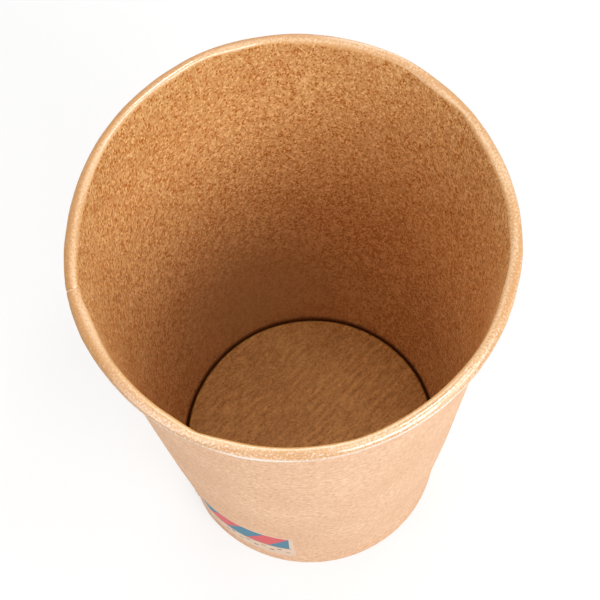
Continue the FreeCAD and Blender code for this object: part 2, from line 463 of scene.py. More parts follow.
@dataclass(frozen=True)
class Board(Finish):
    """Kraft board: brown pulp with paler and darker fibres, rough, and coated on one face."""

    dark: Colour
    light: Colour
    grain: float                # contrast of the speckle
    streak: float               # contrast of the longer fibres
    cloud: float                # contrast of the slow changes in the pulp
    chips: float                # contrast of the single bits of fibre
    speck: float                # strength of the single dark and pale fibres
    roughness: float
    relief: float               # depth of the surface, in metres
    gloss: float = 0.5
    grain_pitch: Pair = (1.9, 1.1)      # lumps in each millimetre, across and up the blank
    streak_pitch: Pair = (0.7, 2.2)
    fibre_pitch: Pair = (1.5, 0.8)
    chip_pitch: float = 1.45            # bits of fibre in each lump of grain
    cloud_pitch: float = 0.06
    gathered: float = 3.0               # how much the clouds gather the longer fibres
    groove_shade: float = 0.0           # strength of the painted shade in the groove where the two sheets meet
    low: Pair = (90 * MM, 15 * MM)      # heights between which the foot's contrast and painted sheen come in
    low_contrast: float = 1.0   # contrast near the foot, in shares of that at the rim
    side: Pair = (20 * MM, 42 * MM)     # distances aside between which the sides' contrast comes in
    side_contrast: float = 1.0  # contrast at the left and right, in shares of that at the back
    painted_sheen: float = 0.0           # strength of the painted sheen that pales the coating towards the foot and round one spot
    # Painted sheen: its pale colour, and the middle and reach of its spot.
    sheen_colour: Colour = (0.56, 0.40, 0.215)
    sheen_at: Place = (-10 * MM, 30 * MM, 20 * MM)
    sheen_reach: float = 38 * MM
    rim: RolledRim | None = None
    bleached: Colour = (1.0, 0.78, 0.60)    # of the pale fibres
    dark_fibre: Pair = (0.22, 0.28)     # noise where a dark fibre starts, and is full
    pale_fibre: Pair = (0.24, 0.29)     # the same for a pale one, of the noise below zero
    coat_roughness: float = 0.09
    coat_index: float = 1.85

    @property
    def shade(self) -> Colour:
        """The colour of a dark fibre, and of the painted shade in the groove."""
        return scaled(self.dark, 0.4)

    def pulp(self, shader: Shader, place: Signal, mixed: Signal) -> Signal:
        """Colours the pulp, with a painted sheen over it near the foot and round one spot.

        Args:
            shader: The material's nodes.
            place: Place in the blank.
            mixed: The contrast of the grain, the longer fibres and the clouds.

        Returns:
            The colour.
        """
        here = shader.here()
        across = shader.parts(here)
        low = across.output("Z").above(*self.low)
        side = (across * across).above(self.side[0] ** 2, self.side[1] ** 2)
        chip = shader.cells(shader.stretched(place, self.grain_pitch), self.chip_pitch)
        contrast = (1 + (self.low_contrast - 1) * low) * (1 + (self.side_contrast - 1) * side)
        tone = 0.5 + (mixed + self.chips * chip) * contrast
        colour = shader.blend(tone.clamped(), self.dark, self.light)
        # Painted sheen: the colour pales towards the foot and round one spot.
        spot = shader.measured("DISTANCE", here, self.sheen_at).above(self.sheen_reach, 0.0)
        return shader.blend(self.painted_sheen * (0.4 * low + 0.9 * spot), colour, self.sheen_colour)

    def fibred(self, shader: Shader, place: Signal, colour: Signal) -> Signal:
        """Adds the single fibres.

        Args:
            shader: The material's nodes.
            place: Place in the blank.
            colour: The pulp's colour.

        Returns:
            The colour, with dark and pale fibres.
        """
        fibre = shader.noise(place, self.fibre_pitch, 1.0)
        dark = self.speck * fibre.above(*self.dark_fibre)
        pale = self.speck * (-1 * fibre).above(*self.pale_fibre)
        return shader.blend(pale, shader.blend(dark, colour, self.shade), self.bleached)

    def surface(self, shader: Shader) -> Signal:
        """Grows the nodes of the board.

        Args:
            shader: The material's nodes.

        Returns:
            The surface.
        """
        place = shader.attribute(BLANK)
        curl = shader.attribute(CURL, "Fac")
        grain = shader.noise(place, self.grain_pitch, 1.0, 0.8)
        cloud = shader.noise(place, self.cloud_pitch)
        streak = shader.noise(place, self.streak_pitch, 1.0) * (1 + self.gathered * cloud)
        mixed = self.grain * grain + self.streak * streak + self.cloud * cloud
        colour = self.fibred(shader, place, self.pulp(shader, place, mixed))
        # Painted shade: the colour darkens into the groove where the wall meets the disc.
        colour = shader.blend(self.groove_shade * curl.above(0.0, -1.0), colour, self.shade)
        height = grain + 0.6 * streak
        coat = 0.0
        if self.rim:
            colour = self.rim.coloured(shader, place, curl, colour)
            rolled = curl.above(0.0, 1.0)
            wrinkle = shader.noise(place, self.rim.wrinkle_pitch, 3.0)
            height = height * (1 - 0.6 * rolled) + self.rim.wrinkle * rolled * wrinkle
            coat = self.rim.coat(shader, curl, wrinkle).clamped()
        return shader.node("ShaderNodeBsdfPrincipled", {}, {
            "Base Color": colour,
            "Roughness": self.roughness + 0.3 * grain,
            "Specular IOR Level": self.gloss,
            "Coat Weight": coat,
            "Coat Roughness": self.coat_roughness,
            "Coat IOR": self.coat_index,
            "Normal": shader.relief(height, self.relief),
        })


@dataclass(frozen=True)
class CutEdge(Finish):
    """The bare, paler pulp where the board was die cut."""

    name: str = "cut_edge"
    dark: Colour = (0.55, 0.36, 0.20)
    light: Colour = (0.86, 0.66, 0.44)
    roughness: float = 0.9
    plies: float = 4.0 / MM     # lumps of pulp in each metre
    relief: float = 0.02 * MM

    def surface(self, shader: Shader) -> Signal:
        """Grows the nodes of the cut edge.

        Args:
            shader: The material's nodes.

        Returns:
            The surface.
        """
        ply = shader.noise(shader.here(), self.plies, 3.0)
        return shader.node("ShaderNodeBsdfPrincipled", {}, {
            "Base Color": shader.blend((0.5 + 1.6 * ply).clamped(), self.dark, self.light),
            "Roughness": self.roughness,
            "Normal": shader.relief(ply, self.relief),
        })


@dataclass(frozen=True)
class PrintInk(Finish):
    """A flat printing ink on bare board, which leaves the deepest pores open."""

    body: Colour
    bare: Colour = (0.70, 0.46, 0.28)
    cover: float = 0.9
    roughness: float = 0.62
    pore_pitch: Pair = (0.78, 2.6)
    film_pitch: float = 0.5
    relief: float = 0.012 * MM

    def surface(self, shader: Shader) -> Signal:
        """Grows the nodes of the ink.

        Args:
            shader: The material's nodes.

        Returns:
            The surface.
        """
        place = shader.attribute(BLANK)
        pore = shader.noise(place, self.pore_pitch, 3.0, 0.6)
        film = 0.5 + 1.2 * shader.noise(place, self.film_pitch)
        colour = shader.blend(film.clamped(), scaled(self.body, 0.86), self.body)
        bare = (1 - self.cover) + 0.7 * self.cover * pore.above(0.14, 0.26)
        return shader.node("ShaderNodeBsdfPrincipled", {}, {
            "Base Color": shader.blend(bare, colour, self.bare),
            "Roughness": self.roughness + 0.2 * pore,
            "Normal": shader.relief(pore, self.relief),
        })


COATED_WALL = Board(
    name="coated_kraft", dark=(0.43, 0.115, 0.0), light=(0.94, 0.60, 0.26),
    grain=0.9, streak=0.6, cloud=0.3, chips=0.65, speck=0.6, roughness=0.55, relief=0.05 * MM,
    grain_pitch=(2.2, 1.35), streak_pitch=(0.8, 0.45), groove_shade=1.0, low_contrast=1.85,
    side_contrast=1.5, painted_sheen=0.6, rim=RolledRim(wrinkle=0.75),
)
BARE_WALL = Board(
    name="bare_kraft", dark=(0.60, 0.308, 0.162), light=(1.0, 0.71, 0.49),
    grain=0.8, streak=0.6, cloud=0.35, chips=0.08, speck=0.12, roughness=0.85, relief=0.04 * MM,
    gloss=0.12, grain_pitch=(1.3, 0.8), streak_pitch=(0.6, 0.9),
)
COATED_DISC = Board(
    name="coated_disc", dark=(0.355, 0.135, 0.010), light=(0.80, 0.446, 0.130),
    grain=1.1, streak=1.15, cloud=0.6, chips=0.35, speck=0.4, roughness=0.5, relief=0.03 * MM,
    grain_pitch=(1.5, 1.9), streak_pitch=(0.28, 1.0), groove_shade=0.9,
)
BARE_DISC = replace(BARE_WALL, name="bare_disc")


# Sizes


def eased(share: np.ndarray) -> np.ndarray:
    """A smooth step, from 0 at 0 to 1 at 1."""
    share = np.clip(share, 0.0, 1.0)
    return share * share * (3 - 2 * share)


def polar(centre: Point, radius: float, degrees: float) -> Point:
    """A point at a distance and a direction from a centre."""
    turn = math.radians(degrees)
    return centre[0] + radius * math.cos(turn), centre[1] + radius * math.sin(turn)


@dataclass(frozen=True)
class CupSizes:
    """The sizes that the two sheets share. Azimuths are in degrees from +X."""

    height: float
    rim_radius: float
    disc_height: float
    foot_radius: float = 29.5 * MM
    wall_sheet: float = 0.40 * MM
    disc_sheet: float = 0.30 * MM
    seal: float = 0.02 * MM         # film between the disc's skirt and the wall that grips it
    bead_radius: float = 1.375 * MM
    curl_gap: float = 0.03 * MM
    foot_land: float = 0.20 * MM
    seam: float = 189.0             # the inner lap's cut edge
    lap: float = 12.5
    ramp: float = 10.0

    @property
    def cone(self) -> float:
        """The cone that meets the rolled rim at its height and the foot at its width.

        Returns:
            Its half angle, in degrees.
        """
        across = self.rim_radius - self.bead_radius - self.foot_radius
        up = self.height - self.bead_radius
        tilt = math.acos((self.bead_radius - self.wall_sheet) / math.hypot(across, up))
        return math.degrees(tilt - math.atan2(up, across))

    @property
    def upright(self) -> float:
        """Direction from the rolled rim's centre square to the wall."""
        return 180 - self.cone

    def inside_cone(self, height: float, depth: float) -> Point:
        """The point at a height that lies a depth inside the outer cone, square to it."""
        tilt = math.radians(self.cone)
        return self.foot_radius + height * math.tan(tilt) - depth / math.cos(tilt), height

    def along_wall(self, point: Point, length: float) -> Point:
        """A point moved up the slope of the wall."""
        tilt = math.radians(self.cone)
        return point[0] + length * math.sin(tilt), point[1] + length * math.cos(tilt)

    @property
    def lap_edge(self) -> Place:
        """The direction in the flat blank that is square to the inner lap's cut edge."""
        turn = math.pi * math.sin(math.radians(self.cone))
        return math.cos(turn), math.sin(turn), 0.0

    def in_blank(self, along: float, azimuth: float) -> Point:
        """Where a point of the wall lies in the flat blank.

        Args:
            along: Distance up the sheet from the foot.
            azimuth: Degrees from +X.

        Returns:
            Its place across and up the blank, in millimetres.
        """
        tilt = math.radians(self.cone)
        slant = (self.foot_radius / math.sin(tilt) + along) / MM
        turn = math.radians(azimuth - self.seam - 180) * math.sin(tilt)
        return slant * math.sin(turn), slant * math.cos(turn)


@dataclass(frozen=True)
class Wave:
    """A regular departure from the round."""

    depth: float
    lobes: int
    peak: float         # degrees, of one crest at the foot
    climb: float = 0.0  # turns of the crest from foot to rim

    def at(self, azimuth: np.ndarray, rise: np.ndarray) -> np.ndarray:
        """The departure at an azimuth, and at a share of the cup's height."""
        turn = np.radians(self.lobes * (azimuth - self.peak)) + 2 * math.pi * self.climb * rise
        return self.depth * np.cos(turn)


@dataclass(frozen=True)
class Press:
    """A stretch of the cup that was pressed or drawn out of the round when it was formed."""

    azimuth: float      # of its middle, in degrees
    spread: float       # how many degrees it takes to die out
    inner: float        # how far outward the roll's inner line, or the foot, lies there, in metres
    outer: float = 0.0  # how far outward the roll's outer line lies
    sharp: bool = False     # creased, and not bent
    past: bool = False      # only past its azimuth

    def share(self, azimuth: np.ndarray) -> np.ndarray:
        """How strong the press is.

        Args:
            azimuth: Degrees from +X.

        Returns:
            Its strength there, from 0 to 1.
        """
        signed = np.mod(azimuth - self.azimuth + 180, 360) - 180
        apart = np.abs(signed) / self.spread
        share = np.clip(1 - apart, 0, 1) ** 1.5 if self.sharp else np.exp(-(apart**2))
        return share * np.clip(1 + 2 * signed, 0, 1) if self.past else share


@dataclass(frozen=True)
class FormedShape:
    """How the formed board departs from a true cone and a true roll."""

    rim_waves: tuple[Wave, ...] = (Wave(0.777 * MM, 2, 84.05), Wave(0.12 * MM, 3, -28.4))
    wall_waves: tuple[Wave, ...] = (
        Wave(0.06 * MM, 5, 20.0, 0.6), Wave(0.05 * MM, 7, 71.0, -0.9),
        Wave(0.03 * MM, 11, 5.0, 1.3), Wave(0.05 * MM, 1, 0.0),
    )
    ripple: float = 0.035 * MM
    ripple_lobes: float = 14.0      # lumps of the ripple in one radian
    presses: tuple[Press, ...] = (
        Press(2, 12, 0.35 * MM, 0.15 * MM), Press(34, 7, 0.60 * MM, 0),
        Press(56, 9, 0.75 * MM, 0.15 * MM), Press(91, 7, 0.35 * MM, -0.20 * MM),
        Press(109, 8, 0.70 * MM, 0), Press(138, 14, 0.30 * MM, -0.05 * MM),
        Press(167, 13, -0.35 * MM, -0.20 * MM), Press(188, 7, 0.26 * MM, -0.03 * MM),
        Press(217, 11, -0.20 * MM, -0.15 * MM), Press(283, 8, 0.30 * MM, 0),
        Press(324, 9, 0.25 * MM, 0.05 * MM), Press(349, 7, 0.30 * MM, 0.15 * MM),
        Press(241.4, 9, 0.70 * MM, 0, sharp=True), Press(189, 6, 0.45 * MM, 0, past=True),
        Press(192, 11, 0, 0.27 * MM),
    )
    foot_presses: tuple[Press, ...] = (
        Press(140, 38, -0.45 * MM), Press(198, 14, 0.12 * MM), Press(342, 24, -0.33 * MM),
        Press(85, 25, -0.12 * MM),
    )
    neck: float = 0.86              # share of the height above which the presses bend the wall
    waist: float = 0.40 * MM        # how far the foot's tools drew the wall in
    waist_at: float = 0.075         # shares of the height where it is deepest, and where it ends
    waist_end: float = 0.38

    def outward(self, azimuth: np.ndarray, rise: np.ndarray) -> np.ndarray:
        """How far the wall stands outside the cone.

        Args:
            azimuth: Degrees from +X.
            rise: Share of the cup's height.

        Returns:
            The distances, in metres.
        """
        rise = np.clip(rise, 0.0, 1.0)
        free = 4 * rise * (1 - rise)
        rim = sum(wave.at(azimuth, rise) for wave in self.rim_waves)
        wall = sum(wave.at(azimuth, rise) for wave in self.wall_waves)
        high = np.clip((rise - self.neck) / (1 - self.neck), 0, 1) ** 2
        bent = sum(press.inner * press.share(azimuth) for press in self.presses)
        foot = sum(press.inner * press.share(azimuth) for press in self.foot_presses)
        foot = foot - self.waist * eased(rise / self.waist_at)
        foot *= 1 - eased((rise - self.waist_at) / (self.waist_end - self.waist_at))
        return rise * rim + free * wall + high * bent + foot

    def swell(self, azimuth: float) -> float:
        """How much larger the roll's radius is.

        Args:
            azimuth: Degrees from +X.

        Returns:
            The difference there, in metres.
        """
        across, up = polar((0.0, 0.0), self.ripple_lobes, azimuth)
        ripple = self.ripple * noise.noise(Vector((across, up, 0.5)))
        apart = sum((press.outer - press.inner) * press.share(azimuth) for press in self.presses)
        return ripple + float(apart) / 2


@dataclass(frozen=True)
class SheetShape:
    """What sets the side wall's profile at one azimuth. On a ramp it goes from one to another."""

    level: float            # outer cone to the sheet's outer face
    bead_radius: float      # of the coated face round the roll
    crown: float            # height of that face's top
    roll_radius: float      # of the coated face where it goes on inside the roll
    roll_sweep: float
    channel: float          # between the two legs of the foot's fold
    crease_radius: float    # of the coated face at the fold's two corners
    lift: float             # ground to the underside of the fold

    def towards(self, other: "SheetShape", share: float) -> "SheetShape":
        """The shape that lies a share of the way to another."""
        start, end = vars(self), vars(other)
        return SheetShape(**{key: start[key] + share * (end[key] - start[key]) for key in start})


# Sheets


class SheetPath:
    """The line that a sheet follows in the plane of one azimuth, in pairs of points on its faces."""

    def __init__(self, bare: Point, coated: Point) -> None:
        """Starts the line at a cut edge.

        Args:
            bare: The edge's point on the bare face.
            coated: Its point on the coated face.
        """
        self.pairs = [(bare, coated)]
        self.marks: dict[str, int] = {}

    def straight(self, bare: Point, coated: Point, steps: int, crowd: float = 1.0) -> None:
        """Goes straight on to another pair of points.

        Args:
            bare: Where the bare face ends.
            coated: Where the coated face ends.
            steps: How many pairs it adds.
            crowd: 1 for even steps, more for shorter ones at the start.
        """
        first = np.array(self.pairs[-1])
        last = np.array((bare, coated))
        for step in range(1, steps + 1):
            self.pairs.append(first + (last - first) * (step / steps) ** crowd)

    def bend(
        self, centre: Point, bare: float, coated: float, start: float, end: float, steps: int
    ) -> None:
        """Goes round a centre.

        Args:
            centre: Centre of the bend.
            bare: Radius of the bare face.
            coated: Radius of the coated face.
            start: Direction from the centre to where the line is.
            end: Direction to where it goes.
            steps: How many pairs it adds.
        """
        for step in range(1, steps + 1):
            turn = start + (end - start) * step / steps
            self.pairs.append((polar(centre, bare, turn), polar(centre, coated, turn)))

    def mark(self, name: str) -> None:
        """Names the pair that the line has reached."""
        self.marks[name] = len(self.pairs) - 1

    def array(self) -> np.ndarray:
        """The pairs as an array: pair, face, then radius and height."""
        return np.array(self.pairs)

    def lengths(self) -> np.ndarray:
        """Measures along the sheet's middle.

        Returns:
            How far each pair is from the start.
        """
        middle = self.array().mean(axis=1)
        steps = np.hypot(*np.diff(middle, axis=0).T)
        return np.concatenate(([0.0], np.cumsum(steps)))


class Material(Enum):
    """The finishes of a sheet, by the order of its material slots."""

    BARE = 0
    COATED = 1
    EDGE = 2


@dataclass
class SheetMesh:
    """A closed mesh of a bent sheet: one line of point pairs for each azimuth."""

    name: str
    places: np.ndarray      # azimuth, pair, face, then x, y and z
    blank: np.ndarray       # the same, in the flat blank
    curl: np.ndarray        # azimuth, pair, and one value for both faces
    round: bool             # the last azimuth joins the first, and the first pair is the centre

    def index(self, azimuth: int, pair: int, face: int) -> int:
        """The vertex of a face of a pair."""
        rows, pairs = self.places.shape[:2]
        return ((azimuth % rows) * pairs + pair) * 2 + face

    def faces(self) -> "list[tuple[tuple[int, ...], Material]]":
        """The mesh's faces.

        Returns:
            The vertices and the finish of each.
        """
        rows, pairs = self.places.shape[:2]
        spans = rows if self.round else rows - 1
        at = self.index
        made = []
        for i in range(spans):
            for j in range(pairs - 1):
                ring = ((i, j), (i + 1, j), (i + 1, j + 1), (i, j + 1))
                made.append((tuple(at(*place, 0) for place in ring), Material.BARE))
                made.append((tuple(at(*place, 1) for place in reversed(ring)), Material.COATED))
            last = pairs - 1
            edge = (at(i, last, 0), at(i + 1, last, 0), at(i + 1, last, 1), at(i, last, 1))
            made.append((edge, Material.EDGE))
            if not self.round:
                edge = (at(i, 0, 0), at(i, 0, 1), at(i + 1, 0, 1), at(i + 1, 0, 0))
                made.append((edge, Material.EDGE))
        if not self.round:
            end = rows - 1
            for j in range(pairs - 1):
                first = (at(0, j, 0), at(0, j + 1, 0), at(0, j + 1, 1), at(0, j, 1))
                final = (at(end, j, 0), at(end, j, 1), at(end, j + 1, 1), at(end, j + 1, 0))
                made += [(first, Material.EDGE), (final, Material.EDGE)]
        return made

    def built(self, finishes: Sequence[bpy.types.Material]) -> bpy.types.Object:
        """Makes the object.

        Args:
            finishes: The materials, in the order of Material.

        Returns:
            The object, linked to the scene.
        """
        faces = self.faces()
        mesh = bpy.data.meshes.new(self.name)
        mesh.from_pydata(self.places.reshape(-1, 3).tolist(), [], [face for face, _ in faces])
        mesh.polygons.foreach_set("material_index", [finish.value for _, finish in faces])
        store(mesh, BLANK, "FLOAT_VECTOR", self.blank)
        store(mesh, CURL, "FLOAT", np.repeat(self.curl, 2, axis=-1))
        if self.round:
            join_touching(mesh)
        return finished(mesh, finishes)


def store(mesh: bpy.types.Mesh, name: str, kind: str, values: np.ndarray) -> None:
    """Keeps a value for each vertex of a mesh.

    Args:
        mesh: The mesh.
        name: The attribute's name.
        kind: Its type.
        values: The values, in the vertices' order.
    """
    member = "vector" if kind == "FLOAT_VECTOR" else "value"
    layer = mesh.attributes.new(name, kind, "POINT")
    layer.data.foreach_set(member, np.ascontiguousarray(values, dtype=np.float32).ravel())


def join_touching(mesh: bpy.types.Mesh) -> None:
    """Joins vertices that lie on each other, at a disc's centre or where a film runs to a point.

    Args:
        mesh: The mesh.
    """
    work = bmesh.new()
    work.from_mesh(mesh)
    bmesh.ops.remove_doubles(work, verts=work.verts, dist=1e-4 * MM)
    work.to_mesh(mesh)
    work.free()


def finished(
    mesh: bpy.types.Mesh, finishes: Iterable[bpy.types.Material]
) -> bpy.types.Object:
    """Shades a mesh smooth but for its sharp edges, dresses it and puts it in the scene.

    Args:
        mesh: The mesh.
        finishes: Its materials, in the order of its slots.

    Returns:
        The object, with the mesh's name.
    """
    for finish in finishes:
        mesh.materials.append(finish)
    mesh.validate()
    mesh.shade_smooth()
    mesh.set_sharp_from_angle(angle=math.radians(SHARP))
    mesh.update()
    piece = bpy.data.objects.new(mesh.name, mesh)
    bpy.context.scene.collection.objects.link(piece)
    return piece


def on_to(start: float, end: float, steps: int) -> list[float]:
    """Evenly spaced azimuths after the start, the end among them."""
    return [start + (end - start) * step / steps for step in range(1, steps + 1)]


@dataclass
class SideWall:
    """The sheet that is rolled into the wall, lapped at the seam, curled and folded."""

    sizes: CupSizes
    form: FormedShape
    tuck_height: float = 5.8 * MM
    roll_sweep: float = 180.0           # degrees of the turn inside the roll
    lap_roll_radius: float = 0.85 * MM
    lap_roll_sweep: float = 60.0
    edge_round: float = 0.12 * MM       # of the cut edges at the seam
    pressed: float = 2.2 * MM           # width along which the seam's outer edge is pressed thin
    pressed_share: float = 0.6          # of the sheet's thickness, at that edge
    dip: float = 26.0                   # how suddenly the roll dips beside the lap, as a power
    edge_stations: tuple[float, ...] = (0.0, 0.02, 0.05, 0.1, 0.16, 0.5)    # degrees from the edge
    rib_depth: float = 0.09 * MM        # of the press marks inside the foot
    ribs: int = 96
    single_steps: int = 395
    ramp_steps: int = 18
    lap_steps: int = 20
    wall_steps: int = 46
    wall_crowd: float = 1.5             # how much shorter the wall's steps are near the foot
    bead_steps: int = 28
    roll_steps: int = 10
    crease_steps: int = 5
    tuck_steps: int = 5
    groove: float = 1.2 * MM            # height over which painted shade darkens the wall at the disc
    most_curl: float = 9.0              # of the curl attribute, at the hidden end of the roll
    name: str = "side_wall_sheet"

    def shapes(self) -> tuple[SheetShape, SheetShape, SheetShape]:
        """Works out the three profiles of the wall.

        Returns:
            That of the single sheet, of the inner lap and of the outer lap.
        """
        sizes, sheet = self.sizes, self.sizes.wall_sheet
        channel = sizes.disc_sheet + 2 * sizes.seal
        crease = (channel - sizes.foot_land) / 2
        lap_bead = sizes.bead_radius + sheet / 2
        single = SheetShape(
            level=0, bead_radius=sizes.bead_radius, crown=sizes.height,
            roll_radius=sizes.bead_radius - sheet - sizes.curl_gap, roll_sweep=self.roll_sweep,
            channel=channel, crease_radius=crease, lift=0,
        )
        inner = replace(
            single, level=sheet, bead_radius=lap_bead, roll_radius=self.lap_roll_radius,
            roll_sweep=self.lap_roll_sweep, lift=sheet,
        )
        outer = replace(
            inner, level=0, bead_radius=lap_bead - sheet, crown=sizes.height - sheet,
            roll_radius=self.lap_roll_radius - sheet, channel=channel + 2 * sheet,
            crease_radius=crease + sheet, lift=0,
        )
        return single, inner, outer

    def stations(self) -> list[tuple[float, SheetShape, float]]:
        """The azimuths at which the profile is drawn.

        Returns:
            Each azimuth, its profile, and the distance in degrees to the sheet's nearer cut edge.
        """
        sizes = self.sizes
        single, inner, outer = self.shapes()
        start, lap_end, end = sizes.seam, sizes.seam + sizes.lap, sizes.seam + 360
        last = end + sizes.lap
        lap = [start + step for step in self.edge_stations]
        lap += on_to(lap[-1], lap_end, self.lap_steps)
        made = [(azimuth, inner) for azimuth in lap]
        for azimuth in on_to(lap_end, lap_end + sizes.ramp, self.ramp_steps):
            made.append((azimuth, inner.towards(single, (azimuth - lap_end) / sizes.ramp)))
        for azimuth in on_to(lap_end + sizes.ramp, end - sizes.ramp, self.single_steps):
            made.append((azimuth, single))
        # These steps get shorter towards the lap, where the roll dips suddenly.
        for left in reversed(range(self.ramp_steps)):
            share = 1 - (left / self.ramp_steps) ** 2
            azimuth = end - sizes.ramp * (1 - share)
            even, late = single.towards(outer, share), single.towards(outer, share**self.dip)
            made.append((azimuth, replace(
                even, crown=late.crown, bead_radius=late.bead_radius, roll_radius=late.roll_radius,
            )))
        made += [(start + last - azimuth, outer) for azimuth in reversed(lap[:-1])]
        return [(azimuth, shape, min(azimuth - start, last - azimuth)) for azimuth, shape in made]

    def path(self, shape: SheetShape) -> SheetPath:
        """The sheet from the edge tucked into the foot, up the cone and round the roll to its end.

        Args:
            shape: What the profile is drawn from.

        Returns:
            The line.
        """
        sizes, sheet, upright = self.sizes, self.sizes.wall_sheet, self.sizes.upright
        crease = shape.crease_radius
        outer = crease + sheet
        height = outer + shape.lift
        heel = sizes.inside_cone(height, shape.level + outer)
        toe = sizes.inside_cone(height, shape.level + sheet + shape.channel - crease)
        tuck = (self.tuck_height - height) / math.cos(math.radians(sizes.cone))
        bead = sizes.inside_cone(
            shape.crown - shape.bead_radius, shape.level + sheet - shape.bead_radius
        )
        roll = bead[0], bead[1] - shape.bead_radius + shape.roll_radius
        toe_pair = polar(toe, outer, upright), polar(toe, crease, upright)

        path = SheetPath(*(sizes.along_wall(point, tuck) for point in toe_pair))
        path.straight(*toe_pair, self.tuck_steps)
        path.mark("toe")
        path.bend(toe, outer, crease, upright, 270, self.crease_steps)
        path.straight(polar(heel, outer, 270), polar(heel, crease, 270), 1)
        path.bend(heel, outer, crease, 270, upright + 180, self.crease_steps)
        path.mark("foot")
        inner_bead = shape.bead_radius - sheet
        path.straight(
            polar(bead, inner_bead, upright), polar(bead, shape.bead_radius, upright),
            self.wall_steps, self.wall_crowd,
        )
        path.mark("curl")
        path.bend(bead, inner_bead, shape.bead_radius, upright, -90, self.bead_steps)
        path.bend(
            roll, shape.roll_radius - sheet, shape.roll_radius, -90, -90 - shape.roll_sweep,
            self.roll_steps,
        )
        return path

    def swollen(self, shape: SheetShape, azimuth: float) -> SheetShape:
        """Adds the roll's ripple to a profile.

        Args:
            shape: What the profile is drawn from.
            azimuth: Degrees from +X.

        Returns:
            The same with the ripple.
        """
        swell = self.form.swell(azimuth)
        least = self.sizes.wall_sheet + self.sizes.curl_gap
        return replace(
            shape,
            bead_radius=shape.bead_radius + swell,
            roll_radius=min(shape.roll_radius, max(shape.roll_radius + swell, least)),
        )

    def fullness(self, shape: SheetShape, azimuth: float) -> float:
        """Compares the roll with that of the plain single sheet.

        Args:
            shape: What the profile is drawn from.
            azimuth: Degrees from +X.

        Returns:
            The roll's radius, in shares of the plain one.
        """
        middle = self.sizes.wall_sheet / 2
        radius = self.swollen(shape, azimuth).bead_radius
        return (radius - middle) / (self.sizes.bead_radius - middle)

    def profile(
        self, azimuth: float, shape: SheetShape, to_edge: float
    ) -> "tuple[np.ndarray, SheetPath]":
        """The pairs at one azimuth, with the cut edges finished and the foot ribbed.

        Args:
            azimuth: Degrees from +X.
            shape: What the profile is drawn from.
            to_edge: Degrees to the sheet's nearer cut edge.

        Returns:
            The pairs, and the line that they come from.
        """
        path = self.path(self.swollen(shape, azimuth))
        pairs = path.array()
        reach = math.radians(to_edge) * self.sizes.rim_radius
        if reach < self.edge_round:
            inset = self.edge_round - math.sqrt(self.edge_round**2 - (self.edge_round - reach) ** 2)
            across = (pairs[:, 1] - pairs[:, 0]) * inset / self.sizes.wall_sheet
            pairs[:, 0] += across
            pairs[:, 1] -= across
        if reach < self.pressed and azimuth > self.sizes.seam + 180:
            thinner = self.pressed_share * (1 - reach / self.pressed)
            pairs[:, 0] += (pairs[:, 1] - pairs[:, 0]) * thinner
        rib = self.rib_depth * (0.5 + 0.5 * math.cos(math.radians(self.ribs * azimuth)))
        pairs[1 : path.marks["toe"], 0, 0] += rib
        return pairs, path

    def built(self) -> bpy.types.Object:
        """Makes the sheet.

        Returns:
            The object.
        """
        stations = self.stations()
        pairs, blank, curl = [], [], []
        for azimuth, shape, to_edge in stations:
            profile, path = self.profile(azimuth, shape, to_edge)
            lengths = path.lengths()
            lengths -= lengths[path.marks["foot"]]
            pairs.append(profile)
            blank.append([self.sizes.in_blank(length, azimuth) for length in lengths])
            rolled = (lengths - lengths[path.marks["curl"]]) / self.fullness(shape, azimuth)
            # Painted shade: below the disc's height the curl goes down to -1, which darkens the
            # groove.
            below = 0.5 + (self.sizes.disc_height - profile[:, 1, 1]) / self.groove
            curl.append(np.clip(rolled / CURL_UNIT, 0, self.most_curl) - np.clip(below, 0, 1))
        azimuths = np.array([azimuth for azimuth, _, _ in stations])
        places = turned(np.array(pairs), azimuths, self.form, self.sizes)
        curl = np.array(curl)[..., None]
        mesh = SheetMesh(self.name, places, two_faced(np.array(blank)), curl, round=False)
        coated = replace(COATED_WALL, rim=replace(COATED_WALL.rim, lap_edge=self.sizes.lap_edge))
        return mesh.built([BARE_WALL.dressed(), coated.dressed(), CutEdge().dressed()])


def turned(
    pairs: np.ndarray, azimuths: np.ndarray, form: FormedShape, sizes: CupSizes
) -> np.ndarray:
    """Turns profiles to their azimuths, and forms them.

    Args:
        pairs: Radius and height by azimuth, pair and face.
        azimuths: Degrees from +X.
        form: How the board departs from the round.
        sizes: The cup's sizes.

    Returns:
        The places in space.
    """
    radius, height = pairs[..., 0], pairs[..., 1]
    azimuth = np.broadcast_to(azimuths[:, None, None], radius.shape)
    outward = form.outward(azimuth, height / sizes.height)
    radius = radius + outward * np.minimum(radius / sizes.foot_radius, 1.0)
    turn = np.radians(azimuth)
    return np.stack((radius * np.cos(turn), radius * np.sin(turn), height), axis=-1)


def two_faced(blank: np.ndarray) -> np.ndarray:
    """Gives each place in the blank a third coordinate, which tells the faces apart.

    Args:
        blank: Places across and up the blank, by azimuth and pair.

    Returns:
        The places of both faces.
    """
    apart = 40.0
    bare = np.concatenate((blank, np.zeros_like(blank[..., :1])), axis=-1)
    coated = bare + (0.0, 0.0, apart)
    return np.stack((bare, coated), axis=2)


